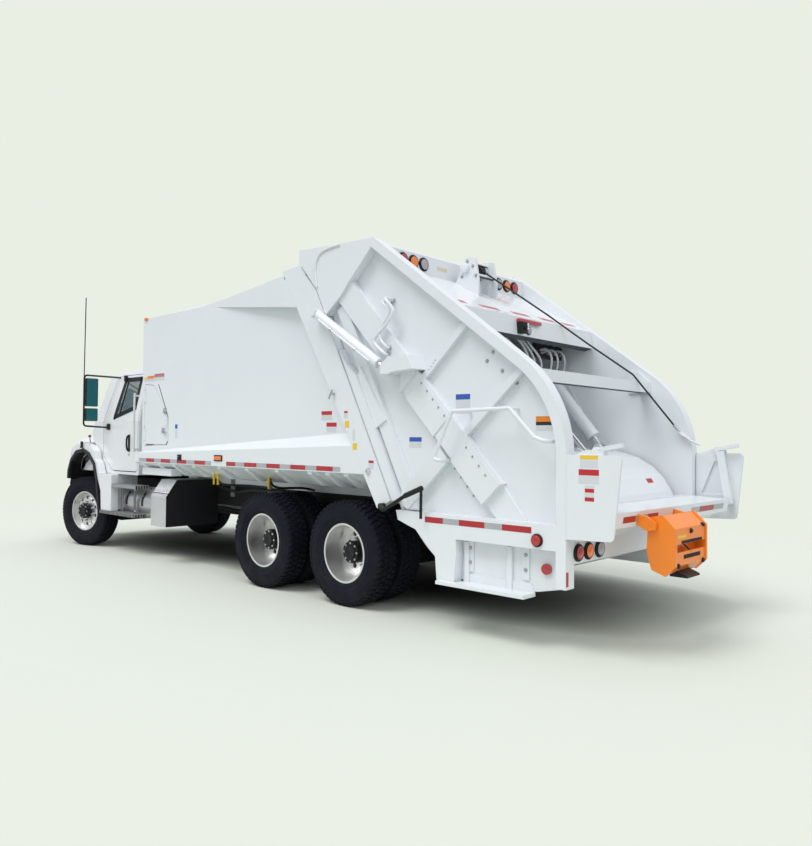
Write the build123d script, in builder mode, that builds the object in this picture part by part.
# Rear loading refuse truck: three axle chassis, push out body and tailgate packer.
# Millimetres, +X to the front of the truck, +Y to its left, +Z up.
# The origin is on the ground under the middle of the truck.
import os
from math import atan2, cos, degrees, hypot, pi, radians, sin

from build123d import *

os.makedirs("parts", exist_ok=True)

# Driving sizes of the chassis
wheelbase = 5260
front_overhang = 1030
rear_overhang = 3820
tandem_spacing = 1320
wheel_radius = 515
frame_top = 1010
rail_height = 270
rail_outer_y = 430
rail_flange = 90
rail_wall = 10

# Driving sizes of the body and the tailgate
half_width = 1220
wall_y = 1120
plate = 20
floor_top = 1150
body_front = 3500
gate_top = 3600
gate_run = 3185
gate_lead = 20
packer_reach = 885
packer_travel = 950
hinge_lead = 120
hinge_height = 3520

# Clearances and the overrun that all cuts share
run_gap = 0.3
slide_gap = 5
swing_gap = 12
over = 50

# Places that several pieces share
overall_length = front_overhang + wheelbase + rear_overhang
tandem_x = rear_overhang - overall_length / 2
front_axle_x = tandem_x + wheelbase
bumper_x = front_axle_x + front_overhang
mid_axle_x = tandem_x + tandem_spacing / 2
rear_axle_x = tandem_x - tandem_spacing / 2
rail_bottom = frame_top - rail_height
rail_inner_y = rail_outer_y - rail_flange
skin_y = wall_y - plate
hinge_x = tandem_x + hinge_lead
body_front_x = tandem_x + body_front
gate_front_x = tandem_x + gate_lead
sides = {"left": 1, "right": -1}


def gate(along_share, up_share):
    """A place on the tailgate: share of its run from its front, share of its top's height."""
    return (gate_front_x - along_share * gate_run, up_share * gate_top)


def gates(shares):
    """Turns a table of shares of the tailgate into places."""
    return [gate(along, up) for along, up in shares]


def spots(shares):
    """Turns a table of shares of the wheelbase and of the tailgate's height into places."""
    return [(tandem_x + along * wheelbase, up * gate_top) for along, up in shares]


def slab(outline, low, high, radii=0, mode=Mode.ADD, grow=0):
    """Outline in x and z, grown by grow, solid from y = low to y = high."""
    with BuildSketch(Plane.XZ.offset(-high)) as face:
        with BuildLine():
            FilletPolyline(*outline, radius=radii, close=True)
        make_face()
        if grow:
            offset(amount=grow)
    extrude(face.sketch, amount=high - low, mode=mode)


def pair(outline, low, high, radii=0, mode=Mode.ADD, grow=0):
    """The same slab on both sides of the truck."""
    slab(outline, low, high, radii, mode, grow)
    slab(outline, -high, -low, radii, mode, grow)


def plan(outline, low, high, radii=0, mode=Mode.ADD):
    """Outline in x and y, solid from z = low to z = high."""
    with BuildSketch(Plane.XY.offset(low)) as face:
        with BuildLine():
            FilletPolyline(*outline, radius=radii, close=True)
        make_face()
    extrude(face.sketch, amount=high - low, mode=mode)


def section(outline, rear, front, radii=0, mode=Mode.ADD):
    """Outline in y and z, solid from x = rear to x = front."""
    with BuildSketch(Plane.YZ.offset(rear)) as face:
        with BuildLine():
            FilletPolyline(*outline, radius=radii, close=True)
        make_face()
    extrude(face.sketch, amount=front - rear, mode=mode)


def brick(x_span, y_span, z_span, mode=Mode.ADD):
    """A plain bar between two corners."""
    (x0, x1), (y0, y1), (z0, z1) = x_span, y_span, z_span
    slab([(x0, z0), (x1, z0), (x1, z1), (x0, z1)], y0, y1, mode=mode)


def bricks(x_span, y_span, z_span, mode=Mode.ADD):
    """The same bar on both sides of the truck."""
    brick(x_span, y_span, z_span, mode)
    brick(x_span, (-y_span[1], -y_span[0]), z_span, mode)


def pin(place, radius, low, high, mode=Mode.ADD):
    """A round bar across the truck at place = (x, z)."""
    with BuildSketch(Plane.XZ.offset(-high)) as face:
        with Locations(place):
            Circle(radius)
    extrude(face.sketch, amount=high - low, mode=mode)


def pins(place, radius, low, high, mode=Mode.ADD):
    """The same round bar on both sides of the truck."""
    pin(place, radius, low, high, mode)
    pin(place, radius, -high, -low, mode)


def bar(start, end, radius, mode=Mode.ADD):
    """A round bar from one point to another."""
    run = Vector(*end) - Vector(*start)
    with BuildSketch(Plane(origin=start, z_dir=run)) as face:
        Circle(radius)
    extrude(face.sketch, amount=run.length, mode=mode)


def band(start, end, width, low, high, mode=Mode.ADD):
    """A flat strip of one width along a line in x and z, solid from y = low to y = high."""
    run_x, run_z = end[0] - start[0], end[1] - start[1]
    length = hypot(run_x, run_z)
    side_x, side_z = -run_z / length * width / 2, run_x / length * width / 2
    corners = [
        (start[0] + side_x, start[1] + side_z),
        (end[0] + side_x, end[1] + side_z),
        (end[0] - side_x, end[1] - side_z),
        (start[0] - side_x, start[1] - side_z),
    ]
    slab(corners, low, high, mode=mode)


def sheet(path, thick, low, high, mode=Mode.ADD):
    """A folded sheet along places in x and z, laid on their right side."""
    normals = []
    for (x0, z0), (x1, z1) in zip(path, path[1:]):
        length = hypot(x1 - x0, z1 - z0)
        normals.append(((z1 - z0) / length, (x0 - x1) / length))
    folded = []
    for number, (x, z) in enumerate(path):
        before = normals[max(number - 1, 0)]
        after = normals[min(number, len(normals) - 1)]
        mitre = thick / (1 + before[0] * after[0] + before[1] * after[1])
        folded.append((x + (before[0] + after[0]) * mitre, z + (before[1] + after[1]) * mitre))
    slab(path + folded[::-1], low, high, mode=mode)


def bent_tube(points, radius, bend):
    """A tube along straight runs joined by arcs."""
    with BuildLine() as path:
        FilletPolyline(*points, radius=bend)
    start = path.line @ 0
    with BuildSketch(Plane(origin=start, z_dir=path.line % 0)) as face:
        Circle(radius)
    sweep(face.sketch, path=path.line)


def turned(profile, center, outward):
    """Revolves an outline given as radius and distance outward about a wheel's axis."""
    radial = Vector(0, 0, 1)
    section_plane = Plane(origin=center, x_dir=radial, z_dir=radial.cross(outward))
    with BuildSketch(section_plane) as face:
        with BuildLine():
            Polyline(*profile, close=True)
        make_face()
    revolve(face.sketch, axis=Axis(center, outward))


# The ladder frame
rail_rear = 1190
rail_front = 860
rail_rear_x = tandem_x - rail_rear
rail_front_x = front_axle_x + rail_front
member_width = 90
member_height = 160
member_shares = (0.02, 0.155, 0.3, 0.48, 0.66, 0.97)
cab_mount_spans = [(3835, 3925), (5035, 5125)]
cab_floor = 1100
with BuildPart() as frame_rails:
    for side in sides.values():
        near, far = sorted((side * rail_inner_y, side * rail_outer_y))
        brick((rail_rear_x, rail_front_x), (near, far), (rail_bottom, frame_top))
        hollow = sorted((side * (rail_inner_y - over), side * (rail_outer_y - rail_wall)))
        brick(
            (rail_rear_x - over, rail_front_x + over),
            hollow,
            (rail_bottom + rail_wall, frame_top - rail_wall),
            Mode.SUBTRACT,
        )
    for share in member_shares:
        x = rail_rear_x + share * (rail_front_x - rail_rear_x)
        brick(
            (x - member_width / 2, x + member_width / 2),
            (rail_wall - rail_outer_y, rail_outer_y - rail_wall),
            (rail_bottom + rail_wall, rail_bottom + rail_wall + member_height),
        )
    for low, high in cab_mount_spans:
        bricks((tandem_x + low, tandem_x + high), (rail_inner_y, rail_outer_y), (frame_top, cab_floor))
frame_rails.part.label = "frame_rails"
export_step(frame_rails.part, "parts/frame_rails.step")

# Tyres, rims and hubs
tyre_width = 270
tread_width = 220
shoulder_drop = 22
bead_radius = 286
rim_flange = 298
rim_width = 210
rim_wall = 14
disc_wall = 16
hub_radius = 108
spindle_radius = 45
bolt_circle = 285
dual_spacing = 343
dual_center_y = 914
front_track = 2060
king_pin_y = 830
steer_rest = 12.6
hub_reach = 185
hand_hole = 27
hand_hole_circle = 200
hand_hole_count = 10
front_disc = 60
front_hub_reach = 130


def tyre_outline(middle):
    """Half section of a tyre whose middle plane is at distance middle outward."""
    half, tread, rim_half = tyre_width / 2, tread_width / 2, rim_width / 2
    crown, shoulder = wheel_radius, wheel_radius - shoulder_drop
    belly = (wheel_radius + bead_radius) / 2
    return [
        (bead_radius + run_gap, middle - rim_half + rim_wall),
        (rim_flange + run_gap, middle - rim_half + rim_wall),
        (belly, middle - half),
        (shoulder, middle - tread - shoulder_drop / 2),
        (crown, middle - tread + shoulder_drop / 2),
        (crown, middle + tread - shoulder_drop / 2),
        (shoulder, middle + tread + shoulder_drop / 2),
        (belly, middle + half),
        (rim_flange + run_gap, middle + rim_half - rim_wall),
        (bead_radius + run_gap, middle + rim_half - rim_wall),
    ]


def rim_outline(middle):
    """Section of a rim's barrel with its two flanges."""
    half = rim_width / 2
    return [
        (rim_flange, middle - half),
        (rim_flange, middle - half + rim_wall),
        (bead_radius, middle - half + rim_wall),
        (bead_radius, middle + half - rim_wall),
        (rim_flange, middle + half - rim_wall),
        (rim_flange, middle + half),
        (bead_radius - rim_wall, middle + half),
        (bead_radius - rim_wall, middle - half),
    ]


def disc_outline(at_plane, dish):
    """Section of a wheel disc that leaves the barrel at a plane and is dished to the hub."""
    return [
        (spindle_radius + run_gap, at_plane + dish),
        (bolt_circle / 2 + hub_radius / 2, at_plane + dish),
        (bead_radius - rim_wall, at_plane),
        (bead_radius - rim_wall, at_plane + disc_wall),
        (bolt_circle / 2 + hub_radius / 2, at_plane + dish + disc_wall),
        (spindle_radius + run_gap, at_plane + dish + disc_wall),
    ]


def hub_outline(start, end):
    """Section of a hub bored for its spindle and closed at its outer end."""
    cap = disc_wall
    return [
        (spindle_radius + run_gap, start),
        (hub_radius, start),
        (hub_radius, end - cap),
        (hub_radius - cap, end),
        (0, end),
        (0, end - cap),
        (spindle_radius + run_gap, end - cap),
    ]


def cut_hand_holes(center, outward, reach):
    """Round hand holes through the disc."""
    radial = Vector(0, 0, 1)
    face_plane = Plane(origin=center, x_dir=radial, z_dir=outward)
    with BuildSketch(face_plane) as holes:
        with PolarLocations(hand_hole_circle, hand_hole_count):
            Circle(hand_hole)
    extrude(holes.sketch, amount=reach, both=True, mode=Mode.SUBTRACT)


inner_dual = -dual_spacing / 2
outer_dual = dual_spacing / 2
for axle, axle_x in (("mid", mid_axle_x), ("rear", rear_axle_x)):
    for side_name, side in sides.items():
        place = f"{axle}_{side_name}"
        center = (axle_x, side * dual_center_y, wheel_radius)
        outward = Vector(0, side, 0)
        with BuildPart() as tyres:
            turned(tyre_outline(inner_dual), center, outward)
            turned(tyre_outline(outer_dual), center, outward)
        tyres.part.label = f"tyres_{place}"
        export_step(tyres.part, f"parts/tyres_{place}.step")
        with BuildPart() as rims:
            turned(disc_outline(0, 0), center, outward)
            turned(disc_outline(-disc_wall, 0), center, outward)
            cut_hand_holes(center, outward, disc_wall * 2)
            turned(rim_outline(inner_dual), center, outward)
            turned(rim_outline(outer_dual), center, outward)
            barrel_gap = dual_spacing / 2 - rim_width / 2
            turned(
                [
                    (bead_radius - rim_wall, -barrel_gap),
                    (bead_radius, -barrel_gap),
                    (bead_radius, barrel_gap),
                    (bead_radius - rim_wall, barrel_gap),
                ],
                center,
                outward,
            )
            turned(hub_outline(-rim_width, hub_reach), center, outward)
        rims.part.label = f"wheels_{place}"
        export_step(rims.part, f"parts/wheels_{place}.step")

# Front wheels and knuckles, which stand steered to the left as the truck is parked
knuckle_radius = 48
knuckle_height = 150
arm_length = 190
arm_thick = 34
for side_name, side in sides.items():
    pivot = Vector(front_axle_x, side * king_pin_y, wheel_radius)
    outward = Vector(0, side, 0).rotate(Axis.Z, steer_rest)
    forward = Vector(1, 0, 0).rotate(Axis.Z, steer_rest)
    center = pivot + outward * (front_track / 2 - king_pin_y)
    with BuildPart() as tyre:
        turned(tyre_outline(0), center, outward)
    tyre.part.label = f"tyre_front_{side_name}"
    export_step(tyre.part, f"parts/tyre_front_{side_name}.step")
    with BuildPart() as rim:
        turned(disc_outline(-disc_wall, front_disc), center, outward)
        cut_hand_holes(center, outward, front_disc * 2)
        turned(rim_outline(0), center, outward)
        turned(hub_outline(-rim_width / 2 + rim_wall, front_hub_reach), center, outward)
    rim.part.label = f"wheel_front_{side_name}"
    export_step(rim.part, f"parts/wheel_front_{side_name}.step")
    spindle_end = front_hub_reach - disc_wall * 2
    with BuildPart() as knuckle:
        with BuildSketch(Plane(origin=pivot, z_dir=(0, 0, 1))) as post:
            Circle(knuckle_radius)
        extrude(post.sketch, amount=knuckle_height / 2, both=True)
        bar(pivot, center + outward * spindle_end, spindle_radius)
        arm_tip = pivot - forward * arm_length - outward * arm_thick
        bar(pivot, arm_tip, arm_thick / 2)
    knuckle.part.label = f"knuckle_{side_name}"
    export_step(knuckle.part, f"parts/knuckle_{side_name}.step")

# The front axle beam with its two forks, and its leaf springs
beam_height = 110
beam_width = 90
beam_drop = 130
fork_gap = knuckle_height / 2 + run_gap
fork_thick = 36
fork_half = 60
fork_root = 100
neck_low = 300
neck_high = 150
arch_in = 350
spring_half = 640
spring_width = 76
spring_thick = 70
spring_y = rail_outer_y - spring_width
shackle_width = 60
beam_top = wheel_radius + beam_height / 2 - beam_drop
with BuildPart() as front_axle:
    fork_reach = king_pin_y + fork_half
    for side in sides.values():
        arm = [
            (0, beam_top - beam_height),
            (side * (king_pin_y - neck_low), beam_top - beam_height),
            (side * (king_pin_y - fork_root), wheel_radius - fork_gap - fork_thick),
            (side * fork_reach, wheel_radius - fork_gap - fork_thick),
            (side * fork_reach, wheel_radius - fork_gap),
            (side * (king_pin_y - fork_root), wheel_radius - fork_gap),
            (side * (king_pin_y - fork_root), wheel_radius + fork_gap),
            (side * fork_reach, wheel_radius + fork_gap),
            (side * fork_reach, wheel_radius + fork_gap + fork_thick),
            (side * (king_pin_y - neck_high), wheel_radius + fork_gap + fork_thick),
            (side * (king_pin_y - arch_in), beam_top),
            (0, beam_top),
        ]
        section(arm, front_axle_x - beam_width / 2, front_axle_x + beam_width / 2)

spring_low = beam_top
hanger_x = (front_axle_x - spring_half, front_axle_x + spring_half)
with BuildPart() as front_springs:
    leaf = [
        (front_axle_x - spring_half, rail_bottom - spring_thick / 2),
        (front_axle_x - beam_width, spring_low),
        (front_axle_x + beam_width, spring_low),
        (front_axle_x + spring_half, rail_bottom - spring_thick / 2),
        (front_axle_x + spring_half, rail_bottom),
        (front_axle_x + beam_width, spring_low + spring_thick),
        (front_axle_x - beam_width, spring_low + spring_thick),
        (front_axle_x - spring_half, rail_bottom),
    ]
    pair(leaf, spring_y, spring_y + spring_width)

# Drive axles, their springs and the shafts to them
housing_radius = 215
housing_half = 110
tube_radius = 70
drum_radius = 200
drum_start = 640
drum_end = 700
pinion_radius = 62
pinion_reach = 330
shaft_radius = 48
with BuildPart() as drive_axles:
    for axle_x in (mid_axle_x, rear_axle_x):
        pin((axle_x, wheel_radius), housing_radius, -housing_half, housing_half)
        pin((axle_x, wheel_radius), tube_radius, -drum_end, drum_end)
        spindle_tip = dual_center_y + hub_reach - disc_wall * 2
        pin((axle_x, wheel_radius), spindle_radius, -spindle_tip, spindle_tip)
        bar((axle_x, 0, wheel_radius), (axle_x + pinion_reach, 0, wheel_radius), pinion_radius)
    bar(
        (mid_axle_x, 0, wheel_radius),
        (mid_axle_x - pinion_reach, 0, wheel_radius),
        pinion_radius,
    )

leaf_rise = 130
saddle_half = 130
bogie_y = rail_outer_y
bogie_width = 90
saddle_low = 790
saddle_high = 960
with BuildPart() as springs:
    add(front_springs.part)
    top = wheel_radius + tube_radius
    bogie = [
        (rear_axle_x - spring_width, top),
        (rear_axle_x + spring_width, top),
        (tandem_x - saddle_half, top + leaf_rise / 2),
        (tandem_x + saddle_half, top + leaf_rise / 2),
        (mid_axle_x - spring_width, top),
        (mid_axle_x + spring_width, top),
        (mid_axle_x + spring_width, top + spring_thick),
        (tandem_x + saddle_half, saddle_low),
        (tandem_x + saddle_half, saddle_high),
        (tandem_x - saddle_half, saddle_high),
        (tandem_x - saddle_half, saddle_low),
        (rear_axle_x - spring_width, top + spring_thick),
    ]
    pair(bogie, bogie_y, bogie_y + bogie_width)
springs.part.label = "springs"
export_step(springs.part, "parts/springs.step")

# Engine and gearbox as plain blocks on their mounts
engine_half = 300
engine_back = 180
engine_ahead = 560
engine_low = 690
engine_high = 1400
gearbox_half = 230
gearbox_length = 1100
gearbox_low = 640
gearbox_high = 960
engine_rear_x = front_axle_x - engine_back
engine_front_x = front_axle_x + engine_ahead
gearbox_rear_x = engine_rear_x - gearbox_length
mount_half = 60
mount_high = 100
with BuildPart() as engine:
    brick((engine_rear_x, engine_front_x), (-engine_half, engine_half), (engine_low, engine_high))
    brick((gearbox_rear_x, engine_rear_x), (-gearbox_half, gearbox_half), (gearbox_low, gearbox_high))
    for x in (engine_front_x - mount_half * 3, engine_rear_x - mount_half * 3):
        brick(
            (x - mount_half, x + mount_half),
            (rail_wall - rail_outer_y, rail_outer_y - rail_wall),
            (gearbox_high - mount_high, gearbox_high),
        )
engine.part.label = "engine"
export_step(engine.part, "parts/engine.step")

shaft_drop = 40
with BuildPart() as axles:
    add(front_axle.part)
    add(drive_axles.part)
    shaft_start = (gearbox_rear_x - shaft_radius / 2, 0, gearbox_low + shaft_drop)
    bar(shaft_start, (mid_axle_x + pinion_reach, 0, wheel_radius), shaft_radius)
    bar(
        (mid_axle_x - pinion_reach, 0, wheel_radius),
        (rear_axle_x + pinion_reach, 0, wheel_radius),
        shaft_radius,
    )
axles.part.label = "axles"
export_step(axles.part, "parts/axles.step")

# Places of the cab, measured forward of the tandem centre
cab_rear = 3750
cab_half = 1030
cab_wall = 40
cowl = 5200
cowl_height = 1720
roof_height = 2680
cab_rear_x = tandem_x + cab_rear
cowl_x = tandem_x + cowl
cab_run = cowl - cab_rear
cab_rise = roof_height - cab_floor


def cab(along_share, up_share):
    """A place on the cab's side: share of its length from the rear, share of its height."""
    return (cab_rear_x + along_share * cab_run, cab_floor + up_share * cab_rise)


cab_outline_shares = [
    (0, 0), (0.9, 0), (0.9, 0.25), (1, 0.37), (0.955, 0.43), (0.79, 0.915), (0.62, 0.98),
    (0.3, 1), (0.06, 0.96), (0, 0.9),
]
cab_bends = [30, 30, 30, 60, 30, 90, 300, 300, 60, 90]
cab_cross_shares = [(1, 0), (1, 0.48), (0.86, 0.9), (0.6, 1)]
cab_inside_shares = [
    (0.03, 0.03), (0.86, 0.03), (0.86, 0.33), (0.93, 0.39), (0.765, 0.89), (0.6, 0.955),
    (0.3, 0.97), (0.08, 0.93), (0.03, 0.88),
]
door_shares = [
    (0.03, 0.032), (0.52, 0.032), (0.56, 0.05), (0.735, 0.165), (0.735, 0.5), (0.62, 0.905),
    (0.1, 0.905), (0.03, 0.8),
]
window_shares = [(0.15, 0.595), (0.565, 0.5), (0.475, 0.87), (0.115, 0.87)]
window_bend = 55


def cab_cross(inset):
    """The cab's section across the truck, inset by a wall."""
    right = [
        (across * (cab_half - inset), cab_floor + inset + up * (cab_rise - inset * 2))
        for across, up in cab_cross_shares
    ]
    return right + [(-y, z) for y, z in reversed(right)]


def cab_places(shares):
    """Turns a table of shares of the cab into places."""
    return [cab(along, up) for along, up in shares]


def cab_block(outline, radii, inset):
    """A side outline and a cross section of the cab, kept where both are solid."""
    with BuildPart() as block:
        slab(outline, -cab_half, cab_half, radii)
        with BuildSketch(Plane.YZ.offset(cab_rear_x - over)) as face:
            with BuildLine():
                Polyline(*cab_cross(inset), close=True)
            make_face()
        extrude(face.sketch, amount=cab_run + over * 4, mode=Mode.INTERSECT)
    return block.part


pane_wall = 6
door_gap = 12
cab_outer = cab_block(cab_places(cab_outline_shares), cab_bends, 0)
cab_inner = cab_block(cab_places(cab_inside_shares), window_bend, cab_wall)
cab_glazed = cab_block(cab_places(cab_outline_shares), cab_bends, pane_wall)
screen_shares = [(0.74, 0.93), (0.97, 0.46)]
screen_half = 800
screen_top_half = 690
rear_window_shares = (0.62, 0.86)
rear_window_half = 330
door_reach = cab_half - cab_wall * 7
screen_top, screen_low = (cab(*share) for share in screen_shares)


def side_prism(shares, grow=0):
    """A side outline of the cab as a prism through each of its sides."""
    with BuildPart() as block:
        pair(cab_places(shares), door_reach, cab_half + over, window_bend, grow=grow)
    return block.part


def screen_prism(grow=0):
    """The windscreen's outline as a prism through the front of the cab."""
    with BuildPart() as block:
        with BuildSketch(Plane.YZ.offset(screen_top[0] - cab_wall * 3)) as face:
            with BuildLine():
                FilletPolyline(
                    (screen_half, screen_low[1] + over),
                    (screen_top_half, screen_top[1] - over),
                    (-screen_top_half, screen_top[1] - over),
                    (-screen_half, screen_low[1] + over),
                    radius=window_bend,
                    close=True,
                )
            make_face()
            if grow:
                offset(amount=grow)
        extrude(face.sketch, amount=cab_run)
    return block.part


rear_window_z = [cab_floor + share * cab_rise for share in rear_window_shares]
with BuildPart() as cab_shell:
    add(cab_outer)
    add(cab_inner, mode=Mode.SUBTRACT)
    add(side_prism(door_shares, door_gap), mode=Mode.SUBTRACT)
    add(screen_prism(), mode=Mode.SUBTRACT)
    brick(
        (cab_rear_x - over, cab_rear_x + cab_wall * 3),
        (-rear_window_half, rear_window_half),
        rear_window_z,
        Mode.SUBTRACT,
    )
cab_shell.part.label = "cab_shell"
export_step(cab_shell.part, "parts/cab_shell.step")

door_block = side_prism(door_shares)
window_block = side_prism(window_shares)
for side_name, side in sides.items():
    half_space = sorted((0, side * cab_half * 2))
    with BuildPart() as door:
        add(cab_outer)
        add(cab_inner, mode=Mode.SUBTRACT)
        add(door_block, mode=Mode.INTERSECT)
        add(window_block, mode=Mode.SUBTRACT)
        brick(
            (cab_rear_x - over, cab_rear_x + cab_run * 2),
            half_space,
            (0, roof_height * 2),
            Mode.INTERSECT,
        )
    door.part.label = f"door_{side_name}"
    export_step(door.part, f"parts/door_{side_name}.step")
    with BuildPart() as door_glass:
        add(cab_outer)
        add(cab_glazed, mode=Mode.SUBTRACT)
        add(window_block, mode=Mode.INTERSECT)
        brick(
            (cab_rear_x - over, cab_rear_x + cab_run * 2),
            half_space,
            (0, roof_height * 2),
            Mode.INTERSECT,
        )
    door_glass.part.label = f"door_glass_{side_name}"
    export_step(door_glass.part, f"parts/door_glass_{side_name}.step")

with BuildPart() as cab_glass:
    band(
        (screen_top[0] - cab_wall, screen_top[1] + cab_wall * 2),
        (screen_low[0] - cab_wall / 2, screen_low[1] - cab_wall),
        pane_wall,
        -cab_half,
        cab_half,
    )
    add(screen_prism(), mode=Mode.INTERSECT)
    brick(
        (cab_rear_x + cab_wall / 4, cab_rear_x + cab_wall / 4 + pane_wall),
        (-rear_window_half, rear_window_half),
        rear_window_z,
    )
cab_glass.part.label = "cab_glass"
export_step(cab_glass.part, "parts/cab_glass.step")
# Seats, dashboard and steering wheel
seat_shares = [
    (0.7567, 0.3188), (0.8403, 0.3188), (0.8441, 0.4167), (0.8327, 0.4333), (0.7795, 0.4278),
    (0.7605, 0.6111), (0.7376, 0.6111), (0.7414, 0.4167),
]
seat_spans = [(200, 720), (-720, -200)]
dash_shares = [
    (0.9125, 0.3188), (0.9373, 0.3188), (0.9373, 0.4444), (0.9563, 0.4722), (0.9563, 0.4944),
    (0.9221, 0.5111), (0.8973, 0.4778), (0.8973, 0.4306), (0.9125, 0.4167),
]
dash_half = 930
wheel_shares = [(0.865, 0.4944), (0.9087, 0.45)]
wheel_y = 460
wheel_ring = 225
wheel_tube = 16
column_radius = 30
cab_floor_top = cab_floor + cab_wall
with BuildPart() as cab_interior:
    for low, high in seat_spans:
        slab(spots(seat_shares), low, high)
    slab(spots(dash_shares), -dash_half, dash_half)
    tip, root = spots(wheel_shares)
    lean = Vector(tip[0] - root[0], 0, tip[1] - root[1])
    bar((root[0], wheel_y, root[1]), (tip[0], wheel_y, tip[1]), column_radius)
    wheel_plane = Plane(origin=(tip[0], wheel_y, tip[1]), z_dir=lean)
    with BuildSketch(wheel_plane) as spokes:
        Rectangle(wheel_ring * 2, column_radius)
        Circle(column_radius * 2)
    extrude(spokes.sketch, amount=wheel_tube)
    with BuildSketch(wheel_plane) as ring:
        Circle(wheel_ring)
        Circle(wheel_ring - wheel_tube * 2, mode=Mode.SUBTRACT)
    extrude(ring.sketch, amount=wheel_tube)
cab_interior.part.label = "cab_interior"
export_step(cab_interior.part, "parts/cab_interior.step")

# Mirrors on their arms, carried by the doors; the left one carries the antenna too
mirror_shares = [
    (0.9049, 0.5792), (0.9125, 0.5764), (0.9183, 0.5833), (0.9183, 0.6833), (0.9125, 0.6917),
    (0.9049, 0.6889),
]
convex_shares = [
    (0.9049, 0.5194), (0.9125, 0.5167), (0.9183, 0.5222), (0.9183, 0.5639), (0.9125, 0.5694),
    (0.9049, 0.5667),
]
mirror_y = (1155, 1325)
arm_shares = [(0.8745, 0.6972), (0.9125, 0.7028), (0.9125, 0.4972), (0.9002, 0.4917)]
arm_reach = (880, 1345, 1345, 1010)
arm_tube = 13
arm_bend = 40
mirror_stub_shares = [(0.9116, 0.6389), (0.9116, 0.5417)]
foot_length = 60
foot_radius = 34
antenna_shares = [(0.9144, 0.6694), (0.9106, 1.0167)]
antenna_radius = 7
for side_name, side in sides.items():
    with BuildPart() as mirror:
        near, far = sorted((side * mirror_y[0], side * mirror_y[1]))
        slab(spots(mirror_shares), near, far)
        slab(spots(convex_shares), near, far)
        points = [(x, side * y, z) for (x, z), y in zip(spots(arm_shares), arm_reach)]
        bent_tube(points, arm_tube, arm_bend)
        for x, z in spots(mirror_stub_shares):
            bar((x, side * mirror_y[1], z), (x, side * arm_reach[1], z), arm_tube * 2 / 3)
        if side_name == "left":
            low, high = spots(antenna_shares)
            across = side * arm_reach[1]
            bar((low[0], across, low[1]), (high[0], across, high[1]), antenna_radius)
        add(cab_outer, mode=Mode.SUBTRACT)
    mirror.part.label = f"mirror_{side_name}"
    export_step(mirror.part, f"parts/mirror_{side_name}.step")

# Rear fenders behind the front wheels, and the black lips round both halves of the arches
fender_shares = [
    (0.8194, 0.1597), (0.8194, 0.3028), (0.8935, 0.3056), (0.9019, 0.3333), (0.9083, 0.3472),
    (0.9192, 0.3611), (0.9259, 0.3944), (0.9506, 0.4167), (0.9876, 0.4264), (0.9876, 0.3944),
    (0.9563, 0.3833), (0.9202, 0.3444), (0.9002, 0.2833), (0.8821, 0.2361), (0.8783, 0.1597),
]
fender_y = (1040, 1150)
tail_shares = [(0.8232, 0.1639), (0.8232, 0.3055), (0.8745, 0.3055), (0.8745, 0.1639)]
tail_hollow_shares = [(0.827, 0.1389), (0.827, 0.2972), (0.8707, 0.2972), (0.8707, 0.1389)]
tail_y = 740
lip_rear_shares = [
    (0.9876, 0.3889), (0.9572, 0.3764), (0.9249, 0.3375), (0.9068, 0.2722), (0.8935, 0.1597),
]
lip_front_shares = [
    (1.0837, 0.2736), (1.0817, 0.3056), (1.0665, 0.3472), (1.0361, 0.3806), (0.9905, 0.3903),
]
lip_thick = 48
lip_y = (1120, 1168)
with BuildPart() as rear_fenders:
    pair(spots(fender_shares), *fender_y)
    pair(spots(tail_shares), tail_y, fender_y[0])
    pair(spots(tail_hollow_shares), tail_y + plate, fender_y[0], mode=Mode.SUBTRACT)
    for side in sides.values():
        near, far = sorted((side * lip_y[0], side * (lip_y[1] + over)))
        sheet(spots(lip_rear_shares), lip_thick, near, far, mode=Mode.SUBTRACT)
rear_fenders.part.label = "rear_fenders"
export_step(rear_fenders.part, "parts/rear_fenders.step")

with BuildPart() as arch_lips:
    sheet(spots(lip_rear_shares), lip_thick, *lip_y)
    sheet(spots(lip_rear_shares), lip_thick, -lip_y[1], -lip_y[0])
arch_lips.part.label = "arch_lips"
export_step(arch_lips.part, "parts/arch_lips.step")

# The hood with its fenders, which tilts forward as one piece
hood_side_shares = [
    (0.9905, 0.3111), (0.9905, 0.4861), (1.0646, 0.4681), (1.1217, 0.4472), (1.1559, 0.4194),
    (1.1692, 0.3611), (1.173, 0.2222), (1.1312, 0.2222), (1.1312, 0.3111),
]
hood_bends = [0, 60, 900, 400, 120, 200, 30, 30, 30]
hood_cross_shares = [(1, 0), (1, 0.42), (0.93, 0.72), (0.78, 0.9), (0.4, 1)]
hood_half = 1010
hood_top = 1760
hood_low = 790
hood_plan_shares = [
    (0.9886, 0.2861), (1.0456, 0.2778), (1.1312, 0.2556), (1.1635, 0.2194), (1.1749, 0.1778),
]
hood_wall = 26
hood_pivot = (tandem_x + 6140, 750)
hood_pin_radius = 18
hood_ear_radius = 32
hood_ear_y = (440, 456)
hood_fender_shares = [
    (0.9905, 0.4056), (0.9905, 0.4292), (1.0361, 0.4222), (1.0932, 0.3917), (1.1407, 0.3333),
    (1.1635, 0.2778), (1.1635, 0.2222), (1.1312, 0.2222), (1.0951, 0.2708), (1.0856, 0.3333),
    (1.0456, 0.3944),
]
fender_bends = [0, 0, 500, 500, 200, 60, 20, 60, 40, 200, 100]
fender_plan_shares = [
    (0.9886, 0.3194), (1.0646, 0.3194), (1.1122, 0.2986), (1.1445, 0.2639), (1.1692, 0.2236),
]
arch_sheet_shares = [
    (0.9914, 0.3972), (1.0361, 0.3875), (1.0703, 0.3528), (1.0894, 0.3056), (1.0989, 0.2667),
]
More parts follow.
